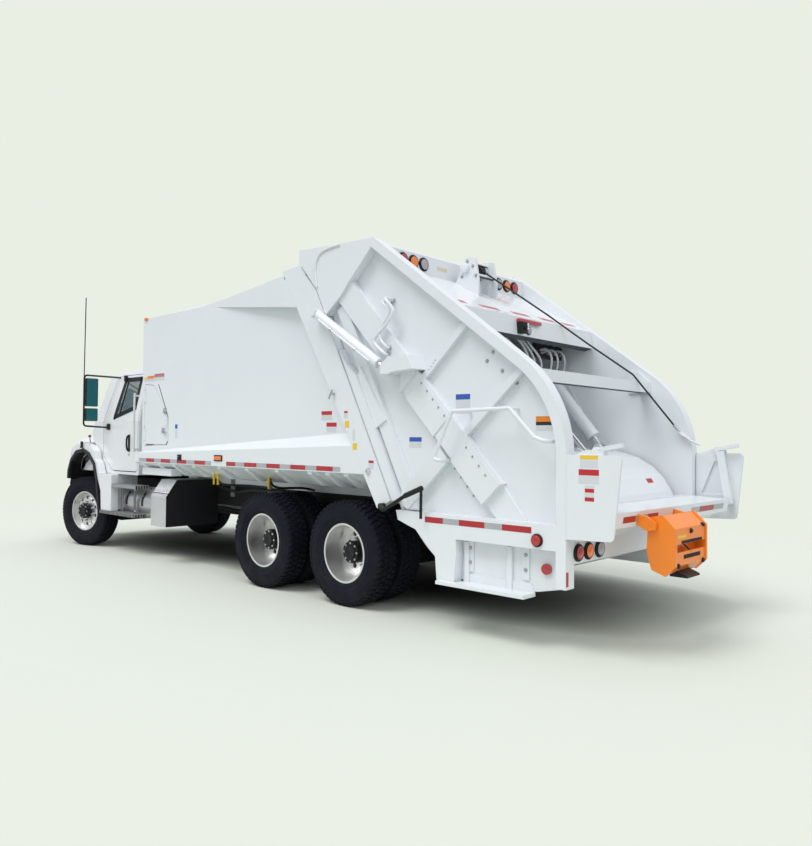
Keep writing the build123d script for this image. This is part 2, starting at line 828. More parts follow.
arch_inner_y = 640
lamp_shares = [(1.1597, 0.2639), (1.1787, 0.2639), (1.1787, 0.3111), (1.1597, 0.3111)]
head_lamp_y = (600, 830)


def front_plan(shares, mode):
    """Keeps what lies inside an outline seen from above, given for one side."""
    left = [(x, z) for x, z in spots(shares)]
    plan(left + [(x, -y) for x, y in reversed(left)], hood_low - over * 4, hood_top + over * 2, mode=mode)


def hood_block(inset):
    """The hood's volume, inset by its wall."""
    cross = [
        (across * (hood_half - inset), hood_low + up * (hood_top - inset - hood_low))
        for across, up in hood_cross_shares
    ]
    with BuildPart() as block:
        slab(spots(hood_side_shares), -hood_half, hood_half, hood_bends)
        with BuildSketch(Plane.YZ.offset(cowl_x - over)) as face:
            with BuildLine():
                Polyline(*(cross + [(-y, z) for y, z in reversed(cross)]), close=True)
            make_face()
        extrude(face.sketch, amount=front_overhang + over, mode=Mode.INTERSECT)
        front_plan(hood_plan_shares, Mode.INTERSECT)
    return block.part


hood_outer = hood_block(0)
hood_inner = hood_block(hood_wall).moved(Location((-hood_wall, 0, -hood_wall)))
with BuildPart() as hood:
    pair(spots(hood_fender_shares), arch_inner_y, fender_y[1], fender_bends)
    front_plan(fender_plan_shares, Mode.INTERSECT)
    add(hood_outer)
    add(hood_inner, mode=Mode.SUBTRACT)
    for side in sides.values():
        near, far = sorted((side * arch_inner_y, side * (lip_y[1] + over)))
        slab(
            spots(lip_front_shares)[:1] + spots(arch_sheet_shares) + [spots(lip_rear_shares)[0]],
            near,
            far,
            mode=Mode.SUBTRACT,
        )
        near, far = sorted((side * lip_y[0], side * (lip_y[1] + over)))
        sheet(spots(lip_front_shares), lip_thick, near, far, mode=Mode.SUBTRACT)
    pair(spots(lamp_shares), *head_lamp_y, mode=Mode.SUBTRACT)
    ear_top = hood_low + hood_ear_radius * 2
    ear = [
        (hood_pivot[0] - hood_ear_radius, hood_pivot[1]),
        (hood_pivot[0] + hood_ear_radius, hood_pivot[1]),
        (hood_pivot[0] + hood_ear_radius, ear_top),
        (hood_pivot[0] - hood_ear_radius, ear_top),
    ]
    pair(ear, *hood_ear_y)
    pins(hood_pivot, hood_ear_radius, *hood_ear_y)
    pins(hood_pivot, hood_pin_radius + run_gap, hood_ear_y[0] - over, hood_ear_y[1] + over, Mode.SUBTRACT)
hood.part.label = "hood"
export_step(hood.part, "parts/hood.step")

with BuildPart() as hood_lips:
    sheet(spots(lip_front_shares), lip_thick, *lip_y)
    sheet(spots(lip_front_shares), lip_thick, -lip_y[1], -lip_y[0])
hood_lips.part.label = "hood_lips"
export_step(hood_lips.part, "parts/hood_lips.step")

# Grille, headlamps and bumper
grille_shares = [(1.1721, 0.2389), (1.1778, 0.2389), (1.1749, 0.3611), (1.1692, 0.3611)]
grille_half = 480
grille_frame = 35
slat_count = 7
slot_rise = (100, 450)
with BuildPart() as grille:
    slab(spots(grille_shares), -grille_half, grille_half)
    slat_pitch = (grille_half * 2 - grille_frame * 2) / slat_count
    for number in range(slat_count):
        low = -grille_half + grille_frame + slat_pitch * number
        brick(
            (bumper_x - over * 5, bumper_x),
            (low + grille_frame / 3, low + slat_pitch - grille_frame / 3),
            (hood_low + slot_rise[0], hood_low + slot_rise[1]),
            Mode.SUBTRACT,
        )
    add(hood.part, mode=Mode.SUBTRACT)
grille.part.label = "grille"
export_step(grille.part, "parts/grille.step")

with BuildPart() as headlamps:
    pair(spots(lamp_shares), *head_lamp_y)
    add(hood_outer, mode=Mode.INTERSECT)
headlamps.part.label = "headlamps"
export_step(headlamps.part, "parts/headlamps.step")

bumper_plan_shares = [
    (1.1958, 0.1694), (1.1787, 0.2694), (1.1445, 0.2861), (1.1369, 0.2861), (1.1692, 0.2625),
    (1.1806, 0.1694),
]
bumper_z = (430, 700)
hook_bar_y = (345, 425)
tow_pin_radius = 20
tow_pin_back = 45
bracket_low = 530
bracket_back = 120
with BuildPart() as front_bumper:
    left = spots(bumper_plan_shares)
    plan(
        left[:3] + left[3:] + [(x, -y) for x, y in reversed(left[3:])] + [(x, -y) for x, y in reversed(left[:3])],
        *bumper_z,
    )
    bricks((rail_front_x - bracket_back, left[-1][0]), hook_bar_y, (bracket_low, rail_bottom))
    pins(hood_pivot, hood_pin_radius, hook_bar_y[0], hood_ear_y[1])
    bricks(
        (hood_pivot[0] - hood_pin_radius, hood_pivot[0] + hood_pin_radius),
        hook_bar_y,
        (rail_bottom - over, hood_pivot[1]),
    )
    hook_middle = (hook_bar_y[0] + hook_bar_y[1]) / 2
    for side in sides.values():
        foot = (left[-1][0] - tow_pin_back, side * hook_middle, bracket_low)
        bar(foot, (*foot[:2], rail_bottom), tow_pin_radius, Mode.SUBTRACT)
front_bumper.part.label = "front_bumper"
export_step(front_bumper.part, "parts/front_bumper.step")

# Steps, fuel tank, battery box and the box on the right
tread_high_shares = [(0.6844, 0.2556), (0.8175, 0.2556), (0.8175, 0.2681), (0.6844, 0.2681)]
tread_low_shares = [(0.6844, 0.1472), (0.8783, 0.1472), (0.8783, 0.1583), (0.6844, 0.1583)]
tread_high_y = (950, 1150)
tread_low_y = (985, 1170)
hanger_shares = [[(0.7186, 0.1472), (0.7281, 0.1472), (0.7281, 0.2681), (0.7186, 0.2681)], [
    (0.789, 0.1472), (0.7985, 0.1472), (0.7985, 0.2681), (0.789, 0.2681),
]]
hanger_y = (1040, 1055)
tank_y = 800
tank_z = 710
tank_radius = 220
tank_span = (3120, 4290)
cradle_spans = [(3300, 3360), (4060, 4120)]
cradle_section = [(430, 480), (800, 465), (800, 560), (600, 700), (560, 760), (430, 760)]
outrig_section = [(430, 500), (1000, 500), (1000, 530), (1055, 530), (1055, 560), (430, 560)]
battery_span = (2700, 3080)
battery_section = [(430, 480), (1200, 480), (1200, 870), (1050, 1080), (430, 1080)]
right_span = (3120, 4290)
right_section = [(-430, 480), (-1080, 480), (-1080, 900), (-1000, 960), (-430, 960)]
with BuildPart() as cab_steps:
    pair(spots(tread_high_shares), *tread_high_y)
    pair(spots(tread_low_shares), *tread_low_y)
    for shares in hanger_shares:
        pair(spots(shares), *hanger_y)
    for span in cradle_spans:
        xs = [tandem_x + along for along in span]
        section(cradle_section, *xs)
        section(outrig_section, *xs)
        section([(-y, z) for y, z in outrig_section], *xs)
    bar((tandem_x + tank_span[0], tank_y, tank_z), (tandem_x + tank_span[1], tank_y, tank_z), tank_radius, Mode.SUBTRACT)
    section(right_section, *[tandem_x + along for along in right_span], mode=Mode.SUBTRACT)
cab_steps.part.label = "cab_steps"
export_step(cab_steps.part, "parts/cab_steps.step")

with BuildPart() as side_tanks:
    bar((tandem_x + tank_span[0], tank_y, tank_z), (tandem_x + tank_span[1], tank_y, tank_z), tank_radius)
    section(right_section, *[tandem_x + along for along in right_span])
    section(battery_section, *[tandem_x + along for along in battery_span])
side_tanks.part.label = "side_tanks"
export_step(side_tanks.part, "parts/side_tanks.step")

# The body: a hollow loft cut off along the joint line of the tailgate
body_back = 1400
body_kink = 2100
belly_y = 900
roof_y = 950
sill_low = 1300
sill_line = (1420, 1440, 1590, 1740)
eave_line = (3240, 3300, 3250, 3330, 3520, 3585)
body_back_x = tandem_x - body_back
body_kink_x = tandem_x + body_kink
joint_shares = [(-0.0126, 0.9611), (0.0776, 0.8758), (0.4188, 0.2972), (0.4647, 0.2194)]
post_shares = [
    (-0.0973, 0.95), (-0.0126, 0.9556), (0.0776, 0.8758), (0.4188, 0.2972), (0.3661, 0.2744),
]
packing_shares = [(0.4495, 0.2662), (0.2772, 0.4269), (0.4458, 0.5278)]
flare_start = 2000
flare_crease = (3240, 3020)
header_height = 3330
header_depth = 100
header_span = (100, 300)
access_shares = [
    (-1.076, 0.6528), (-0.9984, 0.6472), (-0.9017, 0.5569), (-0.881, 0.4806),
    (-0.8722, 0.4278), (-1.076, 0.4208),
]
access_bends = [30, 60, 120, 120, 60, 30]
access_hinge_shares = [(-1.0741, 0.4444), (-1.0741, 0.4861), (-1.0741, 0.5833), (-1.0741, 0.625)]
access_pin = 9
access_knuckle = 60
leaf_width = 45
ear_low = 3380
ear_foot = (80, 140)
ear_radius = 62
pin_radius = 25
ear_y = [(920, 960), (1060, 1100)]
hinge = (hinge_x, hinge_height)
joint_line = gates(joint_shares)
behind = [(joint_line[0][0], roof_height * 2)] + joint_line
behind += [(body_back_x * 2, joint_line[-1][1]), (body_back_x * 2, roof_height * 2)]


def body_section(x, inset):
    """Half outline of the body at x, inset by its plate."""
    span = (body_front_x - x) / (body_front_x - body_back_x)
    slope = (body_kink_x - x) / (body_kink_x - body_back_x)
    band_top = sill_line[0] + span * (sill_line[2] - sill_line[0])
    ledge = sill_line[1] + span * (sill_line[3] - sill_line[1])
    eave = eave_line[2] + slope * (eave_line[4] - eave_line[2])
    top = eave_line[3] + slope * (eave_line[5] - eave_line[3])
    if x > body_kink_x:
        share = (x - body_kink_x) / (body_front_x - body_kink_x)
        eave = eave_line[2] + share * (eave_line[0] - eave_line[2])
        top = eave_line[3] + share * (eave_line[1] - eave_line[3])
    right = [
        (belly_y - inset / 2, floor_top - plate / 2 + inset / 2),
        (half_width - inset, sill_low + inset / 2),
        (half_width - inset, band_top),
        (wall_y - inset, ledge),
        (wall_y - inset, eave),
        (roof_y - inset, top - inset),
    ]
    return right + [(-y, z) for y, z in reversed(right)]


def body_loft(inset, start_x):
    """The body's volume, inset by its plate, from start_x to its rear."""
    faces = []
    for x in (start_x, body_kink_x, body_back_x):
        with BuildSketch(Plane.YZ.offset(x)) as face:
            with BuildLine():
                Polyline(*body_section(x, inset), close=True)
            make_face()
        faces.append(face.sketch)
    return loft(faces, ruled=True, mode=Mode.PRIVATE)


def hinge_leaf(low, high, width):
    """A knuckle of the access door's hinge with its leaf, to one side of the hinge line."""
    axis_x, axis_y = low[0] - access_pin, wall_y + access_pin + run_gap
    bar((axis_x, axis_y, low[1]), (axis_x, axis_y, high[1]), access_pin)
    brick(sorted((axis_x, axis_x + width)), (wall_y, wall_y + access_pin), (low[1], high[1]))


def hinge_ears():
    """The ears on the body's header that carry the tailgate's hinge pins."""
    foot = [
        (hinge_x - ear_foot[0], ear_low),
        (hinge_x + ear_foot[1], ear_low),
        (hinge_x + ear_radius, hinge_height),
        (hinge_x - ear_radius, hinge_height),
    ]
    for low, high in ear_y:
        pair(foot, low, high)
        pins(hinge, ear_radius, low, high)


with BuildPart() as rear_ears:
    hinge_ears()
header_x = [tandem_x + along for along in header_span]
flare_back = tandem_x - over
with BuildPart() as flares:
    for side in sides.values():
        plan(
            [
                (tandem_x + flare_start, side * skin_y),
                (tandem_x + header_span[1], side * half_width),
                (flare_back, side * half_width),
                (flare_back, side * skin_y),
            ],
            flare_crease[1] - over,
            gate_top,
        )
    slab(
        [
            (tandem_x + flare_start, flare_crease[0]),
            (tandem_x + flare_start, eave_line[2]),
            (flare_back, eave_line[2] + over * 3),
            (flare_back, flare_crease[1] - over / 2),
        ],
        -half_width * 2,
        half_width * 2,
        mode=Mode.INTERSECT,
    )
with BuildPart() as body_shell:
    add(body_loft(0, body_front_x))
    add(flares.part)
    add(body_loft(plate, body_front_x - plate), mode=Mode.SUBTRACT)
    slab(behind, -half_width * 2, half_width * 2, mode=Mode.SUBTRACT)
    slab(gates(packing_shares), swing_gap - wall_y + plate, wall_y - plate - swing_gap, mode=Mode.SUBTRACT)
    pair(gates(post_shares), wall_y, half_width + over, mode=Mode.SUBTRACT)
    brick(header_x, (-half_width, half_width), (header_height, header_height + header_depth), Mode.SUBTRACT)
    slab(gates(access_shares), skin_y - over, wall_y + over, access_bends, Mode.SUBTRACT)
    add(rear_ears.part, mode=Mode.SUBTRACT)
    knuckles = gates(access_hinge_shares)
    for x, z in (knuckles[1], knuckles[3]):
        hinge_leaf((x, z + run_gap), (x, z + access_knuckle), leaf_width)
body_shell.part.label = "body_shell"
export_step(body_shell.part, "parts/body_shell.step")

# Posts, header and hinge pins round the rear opening of the body
sill_box_shares = [
    (0.3705, 0.2861), (0.3705, 0.3161), (0.39, 0.3161), (0.4144, 0.2944), (0.3956, 0.2861),
]
lift_top_shares = [(0.1052, 0.8036)]
lift_low_shares = [(0.4198, 0.6306)]
lift_y = (1245, 1325)
boss_radius = 55
with BuildPart() as body_rear_frame:
    pair(gates(post_shares), wall_y, half_width)
    brick(header_x, (-wall_y, wall_y), (header_height, header_height + header_depth))
    slab(gates(sill_box_shares), -half_width, half_width)
    add(rear_ears.part)
    pins(hinge, pin_radius, ear_y[0][0], ear_y[1][1])
    lift_top = gates(lift_top_shares)[0]
    pins(lift_top, boss_radius, half_width, lift_y[0] - slide_gap * 3)
    pins(lift_top, pin_radius, half_width, lift_y[1] + slide_gap * 3)
    pins(lift_top, boss_radius * 2 / 3, lift_y[1] + slide_gap, lift_y[1] + slide_gap * 3)
body_rear_frame.part.label = "body_rear_frame"
export_step(body_rear_frame.part, "parts/body_rear_frame.step")

# Long sills, outriggers and the control box under the body
sill_span = (370, 430)
sill_ends = (-1150, 3440)
outrigger_shares = (0.1, 0.16, 0.22, 0.34, 0.46, 0.58, 0.7, 0.8, 0.88, 0.97)
outrigger_width = 70
outrigger_section = [(430, 1140), (900, 1140), (1200, 1290), (1200, 1270), (1020, 1145), (430, 1090)]
control_span = (2668, 3413)
control_section = [(1000, 1134), (1150, 1134), (1150, 1229), (1080, 1229), (1000, 1188)]
with BuildPart() as body_subframe:
    for side in sides.values():
        near, far = sorted((side * sill_span[0], side * sill_span[1]))
        brick(
            [tandem_x + along for along in sill_ends],
            (near, far),
            (frame_top, floor_top - plate / 2),
        )
        for share in outrigger_shares:
            middle = tandem_x + sill_ends[0] + share * (sill_ends[1] - sill_ends[0])
            section(
                [(side * y, z) for y, z in outrigger_section],
                middle - outrigger_width / 2,
                middle + outrigger_width / 2,
            )
    section(control_section, *[tandem_x + along for along in control_span])
body_subframe.part.label = "body_subframe"
export_step(body_subframe.part, "parts/body_subframe.step")

# The access door in the left wall, hinged at its front edge
latch_shares = [(-0.8917, 0.4722), (-0.9042, 0.4722), (-0.9042, 0.5), (-0.8917, 0.5)]
with BuildPart() as access_door:
    slab(gates(access_shares), skin_y, wall_y, access_bends, grow=-slide_gap)
    slab(gates(latch_shares), wall_y, wall_y + plate)
    knuckles = gates(access_hinge_shares)
    for low, high in (knuckles[:2], knuckles[2:]):
        hinge_leaf(low, high, -leaf_width)
access_door.part.label = "access_door"
export_step(access_door.part, "parts/access_door.step")

# The panel that pushes the load out
ejector_front = 3150
ejector_thick = 60
ejector_half = 1080
ejector_low = 1290
ejector_top = 3130
ejector_shoe = 860
ejector_brace_shares = [(-0.9796, 0.325), (-1.0769, 0.325), (-1.0769, 0.3889), (-0.9796, 0.8056)]
brace_y = (420, 470)
ejector_x = (tandem_x + ejector_front - ejector_thick, tandem_x + ejector_front)
with BuildPart() as ejector:
    brick(ejector_x, (-ejector_half, ejector_half), (ejector_low, ejector_top))
    brick(ejector_x, (-ejector_shoe, ejector_shoe), (floor_top + slide_gap, ejector_low))
    pair(gates(ejector_brace_shares), *brace_y)
ejector.part.label = "ejector"
export_step(ejector.part, "parts/ejector.step")


# Sides of the tailgate: skin, raised frame, ribs and the channels that guide the packer
gate_skin_shares = [
    (-0.0078, 1), (0.1994, 0.9903), (0.3391, 0.9861), (1, 0.555), (1, 0.1408),
    (0.9011, 0.1222), (0.5965, 0.1222), (0.5956, 0.1706), (0.5683, 0.2222), (0.4502, 0.25),
    (0.4229, 0.2972), (0.0816, 0.8758), (-0.0078, 0.9653),
]
slope_bend = 1000
frame_width = 90
gate_frame_shares = [(0.3391, 0.9861), (1, 0.555), (1, 0.1408), (1, 0.1408)]
frame_outer_shares = [
    (0.3391, 0.9861), (1, 0.555), (1, 0.1408), (0.9717, 0.1408), (0.9717, 0.5425),
    (0.3297, 0.9614),
]
head_shares = [
    (-0.0078, 1), (0.1994, 0.9903), (0.3391, 0.9861), (0.3491, 0.9796), (0.2361, 0.8831), (0.1947, 0.8458),
    (0.1272, 0.7986), (0.0816, 0.8758), (-0.0078, 0.9653),
]
front_flange_shares = [
    (0.1837, 0.7028), (0.2261, 0.6556), (0.2669, 0.625), (0.4553, 0.2972), (0.4229, 0.2972),
]
front_channel_shares = [
    (0.2009, 0.8278), (0.4867, 0.3444), (0.5149, 0.2778), (0.4772, 0.2778), (0.1633, 0.8111),
]
gusset_shares = [(0.2669, 0.625), (0.2779, 0.6481), (0.3878, 0.5036), (0.3391, 0.4778)]
rib_upper_shares = [(0.6939, 0.7444), (0.5243, 0.6056)]
rib_lower_shares = [(0.8728, 0.625), (0.6531, 0.4472)]
brace_shares = [
    (0.4772, 0.2778), (0.5507, 0.3419), (0.6242, 0.4031), (0.5868, 0.4431), (0.5005, 0.3653),
    (0.4521, 0.3222), (0.4458, 0.2917),
]
side_band_shares = [
    (0.9717, 0.2194), (0.5714, 0.2194), (0.5008, 0.2367), (0.4502, 0.2514), (0.4427, 0.275),
    (0.9717, 0.275),
]
corner_shares = [
    (0.5086, 0.24), (0.52, 0.245), (0.6625, 0.245), (0.6656, 0.1833), (0.6593, 0.1167),
    (0.5981, 0.1167), (0.5918, 0.1722),
]
rib_width = 60
flange_depth = 100
channel_depth = 70
rib_depth = 50
blade_pivot_shares = [(0.719, 0.3778)]
track_run = 690.6
track_rise = 723.2
track_length = 1000
channel_low = 250
channel_high = 2390
channel_lower = 114
channel_upper = 144
slot_low = 140
slot_high = 2140
slot_half = 85
blade_pivot = gates(blade_pivot_shares)[0]


def track(along, aside):
    """A place on the packer: along its track upwards from the pivot, and aside to the rear."""
    run, rise = track_run / track_length, track_rise / track_length
    return (
        blade_pivot[0] + along * run - aside * rise,
        blade_pivot[1] + along * rise + aside * run,
    )


def track_block(along, aside):
    """The corners of a block that lies along the track."""
    return [
        track(along[0], aside[0]),
        track(along[1], aside[0]),
        track(along[1], aside[1]),
        track(along[0], aside[1]),
    ]


cover_spans = [(-245, 245), (535, 1020)]
cover_half = 125
cover_thick = 8
lift_box_shares = [(0.4377, 0.6628), (0.5124, 0.6622), (0.5359, 0.6267), (0.4565, 0.6222)]
lift_gusset_shares = [(0.4565, 0.6322), (0.5086, 0.6322), (0.5086, 0.6222), (0.4515, 0.5706)]
lift_ear_shares = [
    (0.4113, 0.6431), (0.4396, 0.6597), (0.4615, 0.6597), (0.4615, 0.6236), (0.4458, 0.6181),
    (0.4113, 0.6181),
]
lift_ear_y = [(1225, 1245), (1325, 1345)]
lift_box_y = 1345
eye_thick = 15
lift_middle = (lift_y[0] + lift_y[1]) / 2
with BuildPart() as gate_sides:
    pair(gates(gate_skin_shares), skin_y, wall_y, [0, 0, 0, slope_bend] + [0] * 9)
    pair(
        gates(frame_outer_shares),
        wall_y,
        half_width,
        [0, slope_bend, 0, 0, slope_bend - frame_width, 0],
    )
    pair(gates(head_shares), wall_y, half_width)
    pair(gates(front_flange_shares), wall_y, wall_y + flange_depth - plate / 2)
    pair(gates(front_channel_shares), wall_y, wall_y + rib_depth)
    pair(gates(gusset_shares), wall_y, wall_y + channel_depth)
    pair(gates(brace_shares), wall_y, wall_y + channel_depth - plate / 2)
    pair(gates(side_band_shares), wall_y, half_width)
    pair(gates(corner_shares), wall_y, half_width)
    for ends in (gates(rib_upper_shares), gates(rib_lower_shares)):
        band(*ends, rib_width, wall_y, wall_y + rib_depth)
        band(*ends, rib_width, -wall_y - rib_depth, -wall_y)
    channel = track_block((-channel_low, channel_high), (-channel_lower, channel_upper))
    pair(channel, wall_y, wall_y + channel_depth)
    for span in cover_spans:
        cover = track_block(span, (-cover_half, cover_half))
        pair(cover, wall_y + channel_depth, wall_y + channel_depth + cover_thick)
    pair(gates(lift_box_shares), wall_y, lift_box_y)
    pair(gates(lift_gusset_shares), wall_y, half_width)
    lift_low = gates(lift_low_shares)[0]
    for low, high in lift_ear_y:
        pair(gates(lift_ear_shares), low, high)
    pins(lift_low, pin_radius, lift_ear_y[0][1], lift_middle - eye_thick)
    pins(lift_low, pin_radius, lift_middle + eye_thick, lift_ear_y[1][0])
    slot = track_block((-slot_low, slot_high), (-slot_half, slot_half))
    pair(slot, skin_y - over, wall_y + channel_depth - plate / 2, mode=Mode.SUBTRACT)
gate_sides.part.label = "gate_sides"
export_step(gate_sides.part, "parts/gate_sides.step")

# Roof sheet of the tailgate with its hinge arms, crossbar and winch bracket
roof_path_shares = [
    (0.0691, 0.975), (0.3297, 0.9778), (0.3673, 0.9611), (0.3705, 0.9083), (0.6122, 0.7917),
    (0.6484, 0.7778), (0.6531, 0.7333), (0.6279, 0.7278),
]
sheet_thick = 14
roof_half = 1100
arm_y = (965, 1055)
arm_low_shares = [(-0.0314, 0.9778), (0.0911, 0.9722)]
arm_radius = 45
crossbar_shares = [(0.8289, 0.5917), (0.8603, 0.5917), (0.8603, 0.6208), (0.8289, 0.6208)]
crossbar_gusset_shares = [
    (0.7912, 0.5917), (0.7912, 0.6556), (0.8226, 0.6556), (0.8666, 0.6208), (0.8666, 0.5917),
]
gusset_y = (1080, 1100)
winch_plate_shares = [
    (0.3956, 0.8978), (0.4364, 0.9694), (0.4772, 0.9639), (0.4898, 0.9028), (0.4898, 0.8525),
]
winch_left = (190, 210)
winch_right = (-110, -90)
winch_bar_shares = [(0.449, 0.9556), (0.4239, 0.9222)]
winch_bar_radius = 16
roller_shares = [(0.4741, 0.9167)]
roller_radius = 20
header_lamp_shares = [(0.652, 0.7653), (0.6647, 0.7653), (0.6647, 0.7736), (0.651, 0.7736)]
header_lamp_y = (-70, 290)
camera_shares = [(0.655, 0.7444), (0.6719, 0.7444), (0.6719, 0.7611), (0.653, 0.7611)]
camera_y = (225, 275)
with BuildPart() as gate_roof:
    sheet(gates(roof_path_shares), sheet_thick, -roof_half, roof_half)
    arm = gates(arm_low_shares)
    for side in sides.values():
        near, far = sorted((side * arm_y[0], side * arm_y[1]))
        band((arm[0][0] - arm_radius / 2, arm[0][1] + arm_radius / 3), (arm[1][0], arm[1][1] + arm_radius),
             arm_radius, near, far)
        pin(hinge, arm_radius, near, far)
        pin(hinge, pin_radius + run_gap, near - over, far + over, Mode.SUBTRACT)
    slab(gates(crossbar_shares), -roof_half, roof_half)
    pair(gates(crossbar_gusset_shares), *gusset_y)
    for low, high in (winch_left, winch_right):
        slab(gates(winch_plate_shares), low, high)
    for place in gates(winch_bar_shares):
        pin(place, winch_bar_radius, winch_right[1], winch_left[0])
    pin(gates(roller_shares)[0], roller_radius, winch_right[1], winch_left[0])
gate_roof.part.label = "gate_roof"
export_step(gate_roof.part, "parts/gate_roof.step")

# The hopper's trough, swept by the blade, and its ramp up to the body
trough_radius = 900
trough_sheet = 15
sector_shares = [
    (0.719, 0.3778), (1.2622, 0.2489), (1.2622, -0.1667), (0.2889, -0.1667), (0.2889, 0.0142),
]
ramp_length = 460
with BuildPart() as hopper_trough:
    pin(blade_pivot, trough_radius + trough_sheet, -roof_half, roof_half)
    pin(blade_pivot, trough_radius, -roof_half, roof_half, Mode.SUBTRACT)
    slab(gates(sector_shares), -half_width, half_width, mode=Mode.INTERSECT)
    ramp = track_block((-over / 50, ramp_length), (-trough_radius - trough_sheet, -trough_radius))
    slab(ramp, -roof_half, roof_half)
    gate_line = gates(gate_skin_shares)[9:12]
    ahead = [
        gate_line[1],
        gate_line[2],
        (gate_line[2][0] + over * 9, gate_line[2][1]),
        (gate_line[1][0] + over * 9, gate_line[0][1] - over * 3),
        (gate_line[1][0] - over * 2, gate_line[0][1] - over / 2),
    ]
    slab(ahead, -half_width, half_width, mode=Mode.SUBTRACT)
hopper_trough.part.label = "hopper_trough"
export_step(hopper_trough.part, "parts/hopper_trough.step")

# The hopper's sill beam and the lamp panel under it
sill_shares = [
    (1.1115, 0.3056), (0.9796, 0.3106), (0.9545, 0.2319), (1, 0.2361), (1.1052, 0.2736),
]
lamp_panel_shares = [(1, 0.1917), (1, 0.2361), (0.9937, 0.2361), (0.9937, 0.1917)]
panel_half = 1120
foot_shares = [(0.9937, 0.1917), (0.9937, 0.1972), (0.9325, 0.1944), (0.9325, 0.1917)]
with BuildPart() as hopper_sill:
    slab(gates(sill_shares), -roof_half, roof_half)
    pin(blade_pivot, trough_radius + trough_sheet, -half_width, half_width, Mode.SUBTRACT)
    slab(gates(lamp_panel_shares), -roof_half, roof_half)
hopper_sill.part.label = "hopper_sill"
export_step(hopper_sill.part, "parts/hopper_sill.step")

# Wings beside the hopper's mouth with the container latches
wing_shares = [(1, 0.425), (1.1429, 0.425), (1.1224, 0.2514), (1, 0.2472)]
wing_bends = [0, 40, 40, 0]
wing_y = (1205, 1220)
latch_plate_shares = [
    (1.0016, 0.3028), (1.0016, 0.4194), (1.0518, 0.4361), (1.0926, 0.4333), (1.1115, 0.3028),
]
latch_hole_shares = [(1.0173, 0.3139), (1.0581, 0.4028), (1.0738, 0.4028), (1.0832, 0.3139)]
latch_hole_bends = [15, 15, 15, 15]
latch_y = (1185, 1205)
latch_bar_shares = [(1.0801, 0.4306), (1.1052, 0.2917)]
latch_bar_width = 70
latch_bar_y = (1130, 1165)
latch_pivot_shares = [(1.0691, 0.4347), (1.1068, 0.2972)]
latch_lever_shares = [(1.0612, 0.4333), (1.1334, 0.4458)]
lever_width = 34
with BuildPart() as wings:
    pair(gates(wing_shares), *wing_y, wing_bends)
    for side in sides.values():
        near, far = sorted((side * latch_y[0], side * latch_y[1]))
        slab(gates(latch_plate_shares), near, far)
        slab(gates(latch_hole_shares), near, far, latch_hole_bends, Mode.SUBTRACT)
    for place in gates(latch_pivot_shares):
        pins(place, pin_radius, latch_bar_y[0], latch_y[0])
    for ends, width in (
        (gates(latch_bar_shares), latch_bar_width),
        (gates(latch_lever_shares), lever_width),
    ):
        band(*ends, width, *latch_bar_y)
        band(*ends, width, -latch_bar_y[1], -latch_bar_y[0])
wings.part.label = "wings"
export_step(wings.part, "parts/wings.step")

# Riding steps and grab rails on the tailgate's sides
step_shares = [(0.6122, 0.1111), (0.8948, 0.1111), (0.8948, 0.1194), (0.6122, 0.1194)]
step_inner_shares = [(0.6672, 0.1111), (0.8948, 0.1111), (0.8948, 0.1194), (0.6672, 0.1194)]
step_back_shares = [(0.6688, 0.1194), (0.8948, 0.1194), (0.8854, 0.1389), (0.6719, 0.1389)]
step_y = (1120, 1290)
strap_shares = [(0.675, 0.1194), (0.6907, 0.1194), (0.6907, 0.2139), (0.675, 0.2139)]
strap_too_shares = [(0.8132, 0.1194), (0.8289, 0.1194), (0.8289, 0.2139), (0.8132, 0.2139)]
strap_thick = 12
rail_y = 1300
rail_tube = 17
rail_bend = 60
rail_shares = [
    (0.6232, 0.4042), (0.6044, 0.4083), (0.6688, 0.5211), (0.8531, 0.5244), (0.9262, 0.4611),
    (0.9545, 0.4528),
]
standoff_shares = [(0.6876, 0.5211), (0.8414, 0.5244)]
with BuildPart() as side_steps:
    pair(gates(step_shares), half_width + slide_gap / 2, step_y[1])
    pair(gates(step_inner_shares), step_y[0], half_width + slide_gap / 2)
    pair(gates(step_back_shares), step_y[0], step_y[0] + strap_thick)
    for shares in (strap_shares, strap_too_shares):
        pair(gates(shares), step_y[0] + strap_thick, step_y[0] + strap_thick * 2)
        pair(gates(shares), step_y[0], step_y[0] + strap_thick)
    for side in sides.values():
        places = gates(rail_shares)
        points = [(places[0][0], side * wall_y, places[0][1])]
        points += [(x, side * rail_y, z) for x, z in places]
        points += [(places[-1][0], side * wall_y, places[-1][1])]
        bent_tube(points, rail_tube, rail_tube * 3 / 2)
    for place in gates(standoff_shares):
        pins(place, rail_tube * 2 / 3, wall_y, rail_y)
    add(gate_sides.part, mode=Mode.SUBTRACT)
side_steps.part.label = "side_steps"
export_step(side_steps.part, "parts/side_steps.step")

